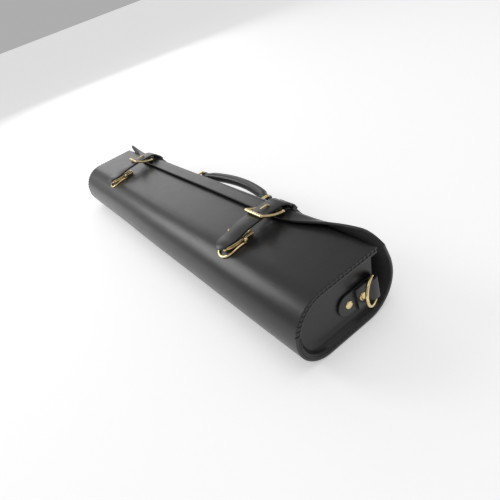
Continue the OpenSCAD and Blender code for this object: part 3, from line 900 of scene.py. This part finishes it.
def tab_stitches():
    parts = []
    for sign in SIDES.values():
        for u in (-1, 1):
            for q in np.arange(6, 34, 5.5):
                pts = []
                for w in (-1.7, -0.6, 0.6, 1.7):
                    a = math.radians(q + w * 1.3)
                    reach = LIP_R + HEEL_LOOP_T + (0.55 if abs(w) < 1 else 0.15)
                    pts.append(spot(sign * STRAP_X + u * (STRAP_W / 2 - 3.3), LIP_Y + reach * math.sin(a),
                                    LIP_Z + reach * math.cos(a)))
                parts.append(stitch(pts, 0.42 * MM))
    obj = make_mesh("buckle_tab_stitches", *together(parts), THREAD, "flap", "thread")
    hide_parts("tab_stitches")


# ---------------------------------------------------------------- clips


CLIP_ROUND_Y = 33.0
CLIP_TOP_Y = 47.0
PLATE_LOW = CASE_DEPTH + 4.9
ARM_Z = CASE_DEPTH + 3.0
PIVOT = (5.0, 25.5)


def front_height(y):
    """The height of the case's outer face above the back panel at a height above the base."""
    if y >= BASE_FRONT_R:
        return CASE_DEPTH
    return BASE_BACK_R + math.sqrt(BASE_FRONT_R ** 2 - (BASE_FRONT_R - y) ** 2)


def bow(half, y_end, count=31):
    """A U in plan: up one side, round the lower end and back, as (x, y)."""
    arc = [(half * math.cos(math.radians(a)), CLIP_ROUND_Y + half * math.sin(math.radians(a)))
           for a in np.linspace(0, -180, count)]
    up = [(half, y) for y in np.linspace(y_end, CLIP_ROUND_Y + 1, 8)]
    down = [(-half, y) for y in np.linspace(CLIP_ROUND_Y + 1, y_end, 8)]
    return up + arc + down


def catch(side):
    """The bow that hugs the leather, and the plate and loop that the arms close round."""
    sign = SIDES[side]
    x0 = sign * STRAP_X
    path = np.array([spot(x0 + x, y, front_height(y) + 1.45) for x, y in bow(13.5, CLIP_TOP_Y)])
    obj = make_mesh("catch_bow_" + side, *together([tube(path, 1.45 * MM, around=18, flat=0.85),
                                                    ball(path[0], 1.5 * MM), ball(path[-1], 1.5 * MM)]),
                    BRASS, "case", "brass", 60)
    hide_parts("catch_frame_" + side)
    low, high, half = CLIP_TOP_Y + 2.2, CLIP_TOP_Y + 15.6, 3.6
    foot, top = CASE_DEPTH + 1.4, CASE_DEPTH + 3.6
    corners = [(-half, low, foot), (-half, low, top), (-half, high, top), (half, high, top),
               (half, low, top), (half, low, foot)]
    loop_path = ease_corners([spot(x0 + u, y, z) for u, y, z in corners], 1.2 * MM)
    loop = sweep(loop_path, 1.9 * MM, 1.9 * MM, 0.6 * MM, up=(0.02, 0.03, 1))
    feet = sweep([spot(x0, y, CASE_DEPTH + 0.6) for y in np.linspace(CLIP_TOP_Y + 1, CLIP_TOP_Y + 16.8, 12)],
                 9.0 * MM, 1.2 * MM, 0.35 * MM, side=(1, 0, 0))
    wall = [sweep([spot(x0 + s * half, y, CASE_DEPTH + 2.3) for y in np.linspace(low + 0.5, high - 0.5, 8)],
                  1.5 * MM, 2.4 * MM, 0.4 * MM, side=(1, 0, 0)) for s in (-1, 1)]
    staple = make_mesh("catch_staple_" + side + "_brass", *together([loop, feet] + wall),
                       BRASS, "case", "brass")
    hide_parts("catch_staple_" + side)


def catch_rivets():
    heads = [rivet(spot(s * STRAP_X, CLIP_TOP_Y + u, CASE_DEPTH + 1.2), (0, 0, 1), 1.5 * MM, 0.8 * MM)
             for s in SIDES.values() for u in (5, 10.5)]
    obj = make_mesh("catch_plate_rivets", *together(heads), BRASS, "case", "brass")
    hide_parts("catch_rivets")


def clip_body(side):
    """The clip's upper bow under the strap, its cross bar with ball ends and the arms' pins."""
    sign = SIDES[side]
    x0 = sign * STRAP_X
    path = np.array([spot(x0 + x, y, PLATE_LOW + 0.75) for x, y in bow(10, CLIP_TOP_Y)])
    parts = [sweep(path, 3.9 * MM, 1.5 * MM, 0.65 * MM, up=(0, 0, 1))]
    cross_bar = [spot(x0 + u, CLIP_TOP_Y, PLATE_LOW + 1.4) for u in np.linspace(-17, 17, 9)]
    parts.append(tube(cross_bar, 1.55 * MM))
    for s in (-1, 1):
        parts.append(ball(spot(x0 + s * 17, CLIP_TOP_Y, PLATE_LOW + 1.4), 2.3 * MM))
        parts.append(turned([(1.5 * MM, 0), (1.7 * MM, 0.0003), (1.5 * MM, 0.0007)],
                            spot(x0 + s * 13.2, CLIP_TOP_Y, PLATE_LOW + 1.4), (s, 0, 0)))
        parts.append(turned([(1.2 * MM, -0.0001), (1.2 * MM, 0.0036)],
                            spot(x0 + s * PIVOT[0], PIVOT[1], ARM_Z - 1.3), (0, 0, 1)))
    parts.append(sweep([spot(x0 + u, PIVOT[1] - 0.5, PLATE_LOW + 0.75) for u in np.linspace(-8, 8, 9)],
                       5.6 * MM, 1.5 * MM, 0.6 * MM, up=(0, 0, 1)))
    obj = make_mesh("clip_" + side + "_bow", *together(parts), BRASS, "flap", "brass", 60)
    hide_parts("clip_body_" + side)


def clip_arm(side, place):
    """One sprung arm: an eye round its pin, a wide bow and a narrow nose."""
    sign = SIDES[side]
    out = 1 if place == "outer" else -1
    x0 = sign * STRAP_X
    flip = sign * out
    corners = [(PIVOT[0] + 2.4, PIVOT[1] + 1), (10.3, 31), (10.3, 41), (8.4, 49), (8.4, 62)]
    path = ease_corners([spot(x0 + flip * x, y, ARM_Z) for x, y in corners], 3.5 * MM)
    eye = [(2.6 * MM, -1.3 * MM), (3.0 * MM, -0.9 * MM), (3.0 * MM, 0.9 * MM), (2.6 * MM, 1.3 * MM),
           (1.4 * MM, 1.3 * MM), (1.26 * MM, 1.1 * MM), (1.26 * MM, -1.1 * MM), (1.4 * MM, -1.3 * MM)]
    centre = spot(x0 + flip * PIVOT[0], PIVOT[1], ARM_Z)
    angles = np.linspace(0, 2 * math.pi, 26, endpoint=False)
    loops = [np.array([centre + np.array([r * math.cos(a), r * math.sin(a), h]) for r, h in eye])
             for a in angles]
    parts = [loft(loops, closed=True), tube(path, 1.3 * MM, around=16), ball(path[-1], 1.34 * MM)]
    name = "clip_arm_" + place + "_" + side
    obj = make_mesh(name + "_brass", *together(parts), BRASS, name, "brass", 60)
    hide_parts(name)


# ---------------------------------------------------------------- handle


HANDLE_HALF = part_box("handle_ring_right")[1].x / MM - 1.8 * 1.06 - HANDLE_SHIFT
HANDLE_BAR_R = 1.8
HANDLE_LOW_Y = CROWN_Y + 2.5 + HANDLE_BAR_R + 0.1
HANDLE_HIGH_Y = HANDLE_LOW_Y + 17
HANDLE_RING_HALF = 8.6
GRIP_R = 7.5
GRIP_RISE = 13.0


def handle_tab(side):
    """The leather tab round a handle ring, riveted to the crown."""
    sign = SIDES[side]
    loop = HANDLE_BAR_R + 0.15 + 1.25
    bar = HANDLE_LOW_Y
    over = [(loop * math.sin(math.radians(a)) * -1, bar + loop * math.cos(math.radians(a)))
            for a in np.linspace(0, 180, 21)]
    base_y = CROWN_Y + 1.25
    top = [(34, base_y + 2.45), (24, base_y + 2.45), (12, base_y + 2.5), (7, base_y + 3.4),
           (3, bar + loop - 0.5)]
    under = [(4, base_y + 0.05), (14, base_y), (24, base_y), (34, base_y)]
    line = top + over + under
    path = ease_corners([spot(HANDLE_SHIFT + sign * (HANDLE_HALF + x), y, HANDLE_Z) for x, y in line],
                        1.5 * MM)
    strip = sweep(path, 13 * MM, 2.35 * MM, 0.7 * MM, side=(0, 0, 1))
    obj = make_mesh("handle_tab_" + side + "_leather", *strip, LEATHER_STRAP, "flap", "leather")
    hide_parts("handle_tab_" + side)


def handle_tab_rivets():
    heads = [rivet(spot(HANDLE_SHIFT + s * (HANDLE_HALF + 25), CROWN_Y + 4.9, HANDLE_Z), (0, 1, 0),
                   3.6 * MM, 1.3 * MM) for s in SIDES.values()]
    obj = make_mesh("handle_tab_rivet_heads", *together(heads), BRASS, "flap", "brass")
    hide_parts("handle_tab_rivets")


def handle_ring(side):
    x = HANDLE_SHIFT + SIDES[side] * HANDLE_HALF
    corners = [(HANDLE_LOW_Y, -1), (HANDLE_LOW_Y, 1), (HANDLE_HIGH_Y, 1), (HANDLE_HIGH_Y, -1)]
    path = ease_corners([spot(x, y, HANDLE_Z + s * HANDLE_RING_HALF) for y, s in corners], 2.6 * MM,
                        closed=True)
    obj = make_mesh("handle_ring_" + side + "_brass", *tube(path, HANDLE_BAR_R * MM, closed=True, around=18,
                                                           up=(1, 0, 0)),
                    BRASS, "handle_ring_" + side, "brass", 60)
    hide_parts("handle_ring_" + side)


def grip():
    """The rolled grip: a round arch that flattens at each end and folds round its ring."""
    reach = HANDLE_HALF - 4
    base_y = HANDLE_HIGH_Y + 1.5
    xs = np.linspace(-reach, reach, 81)
    radius = ((HANDLE_HALF - 9) ** 2 + GRIP_RISE ** 2) / (2 * GRIP_RISE)
    loops = []
    angles = np.linspace(0, 2 * math.pi, 36, endpoint=False)
    for x in xs:
        y = base_y + GRIP_RISE - radius + math.sqrt(radius ** 2 - min(abs(x), HANDLE_HALF - 9) ** 2)
        full = float(smooth(reach, reach - 20, abs(x)))
        y = y * full + (HANDLE_HIGH_Y + 0.2) * (1 - full)
        up = 3.5 + (GRIP_R - 3.5) * full
        wide = 6.2 + (GRIP_R - 6.2) * full
        seam_dip = 0.35 * full
        ring = []
        for a in angles:
            pinch = seam_dip * math.exp(-((math.degrees(a) - 270) / 9) ** 2)
            ring.append(spot(HANDLE_SHIFT + x, y + (up - pinch) * math.sin(a),
                             HANDLE_Z + (wide - pinch) * math.cos(a)))
        loops.append(np.array(ring))
    parts = [loft(loops)]
    for s in (-1, 1):
        line = [(-14, 3.3), (-6, 3.3)] + [(3.3 * math.sin(math.radians(a)), 3.3 * math.cos(math.radians(a)))
                                          for a in np.linspace(0, 180, 19)] + [(-6, -3.3), (-18, -3.3)]
        path = np.array([spot(HANDLE_SHIFT + s * (HANDLE_HALF + u), HANDLE_HIGH_Y + v, HANDLE_Z)
                         for u, v in line])
        parts.append(sweep(path, 12 * MM, 2.7 * MM, 0.8 * MM, side=(0, 0, 1)))
    obj = make_mesh("grip_leather", *together(parts), LEATHER_STRAP, "handle", "leather", 50)
    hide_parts("grip")
    stitches = []
    for x in np.arange(-reach + 24, reach - 23, 5.0):
        pts = []
        for d in (-1.8, -0.7, 0.7, 1.8):
            drop = math.sqrt(radius ** 2 - (x + d) ** 2)
            pts.append(spot(HANDLE_SHIFT + x + d, base_y + GRIP_RISE - radius + drop - GRIP_R + 0.05
                            - (0.25 if abs(d) < 1 else 0), HANDLE_Z))
        stitches.append(stitch(pts, 0.45 * MM))
    make_mesh("grip_stitches", *together(stitches), THREAD, "handle", "thread")
    heads = [rivet(spot(HANDLE_SHIFT + s * (HANDLE_HALF - 6), HANDLE_HIGH_Y - HANDLE_BAR_R - 2.9, HANDLE_Z),
                   (0, -1, 0), 2.4 * MM, 1.0 * MM) for s in (-1, 1)]
    studs = make_mesh("grip_rivet_heads", *together(heads), BRASS, "handle", "brass")
    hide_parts("grip_rivets")


# ---------------------------------------------------------------- room


def floor():
    net = Net("pale_floor")
    material = net.surface(**{"Base Color": (0.86, 0.86, 0.865, 1), "Roughness": 0.9,
                              "Emission Color": (1, 1, 1, 1), "Emission Strength": 0.36})
    size = 60.0
    mesh = bpy.data.meshes.new("floor")
    corners = [(x * size, y * size, -0.0004) for x, y in ((-1, -1), (1, -1), (1, 1), (-1, 1))]
    mesh.from_pydata(corners, [], [(0, 1, 2, 3)])
    mesh.materials.append(material)
    obj = bpy.data.objects.new("floor", mesh)
    bpy.context.scene.collection.objects.link(obj)


def lights():
    world = bpy.data.worlds.new("soft_room")
    bpy.context.scene.world = world
    world.use_nodes = True
    world.node_tree.nodes["Background"].inputs[0].default_value = (1, 1, 1, 1)
    world.node_tree.nodes["Background"].inputs[1].default_value = 0.42
    for name, place, target, size, power in (
            ("far_window", (-2.0, 0.6, 0.85), (0, 0, 0.03), 1.2, 5.5),
            ("front_window", (-1.35, -0.85, 1.0), (0.1, 0, 0.03), 0.8, 9),
            ("overhead", (0.3, 0.2, 2.2), (0.1, 0, 0.03), 1.8, 10)):
        lamp = bpy.data.lights.new(name, "AREA")
        lamp.size = size
        lamp.energy = power
        obj = bpy.data.objects.new(name, lamp)
        obj.location = place
        obj.rotation_euler = (Vector(target) - Vector(place)).to_track_quat("-Z", "Y").to_euler()
        bpy.context.scene.collection.objects.link(obj)


def camera():
    azimuth, elevation, roll = (math.radians(a) for a in (65.68, 32.66, -20.84))
    back = Vector((math.sin(azimuth) * math.cos(elevation), -math.cos(azimuth) * math.cos(elevation),
                   math.sin(elevation)))
    across = Vector((0, 0, 1)).cross(back).normalized()
    upward = back.cross(across)
    right = math.cos(roll) * across + math.sin(roll) * upward
    top = -math.sin(roll) * across + math.cos(roll) * upward
    data = bpy.data.cameras.new("camera")
    data.lens = 30.927
    data.sensor_width = 36
    data.clip_start = 0.02
    obj = bpy.data.objects.new("camera", data)
    matrix = Matrix((right, top, back)).transposed().to_4x4()
    matrix.translation = Vector((0.56847, -0.17603, 0.32051))
    obj.matrix_world = matrix
    bpy.context.scene.collection.objects.link(obj)
    bpy.context.scene.camera = obj


camera()
lights()
floor()
wrap()
flap()
lines = {}
for side in SIDES:
    gusset(side)
    seam(side)
    end_tab(side)
    end_ring(side)
    lines[side] = strap(side)
    keeper(side)
    buckle_tab(side)
    buckle(side)
    prong(side)
    catch(side)
    clip_body(side)
    clip_arm(side, "outer")
    clip_arm(side, "inner")
    handle_tab(side)
    handle_ring(side)
strap_studs(lines)
tab_stitches()
catch_rivets()
handle_tab_rivets()
grip()
bpy.context.scene.view_settings.view_transform = "Standard"
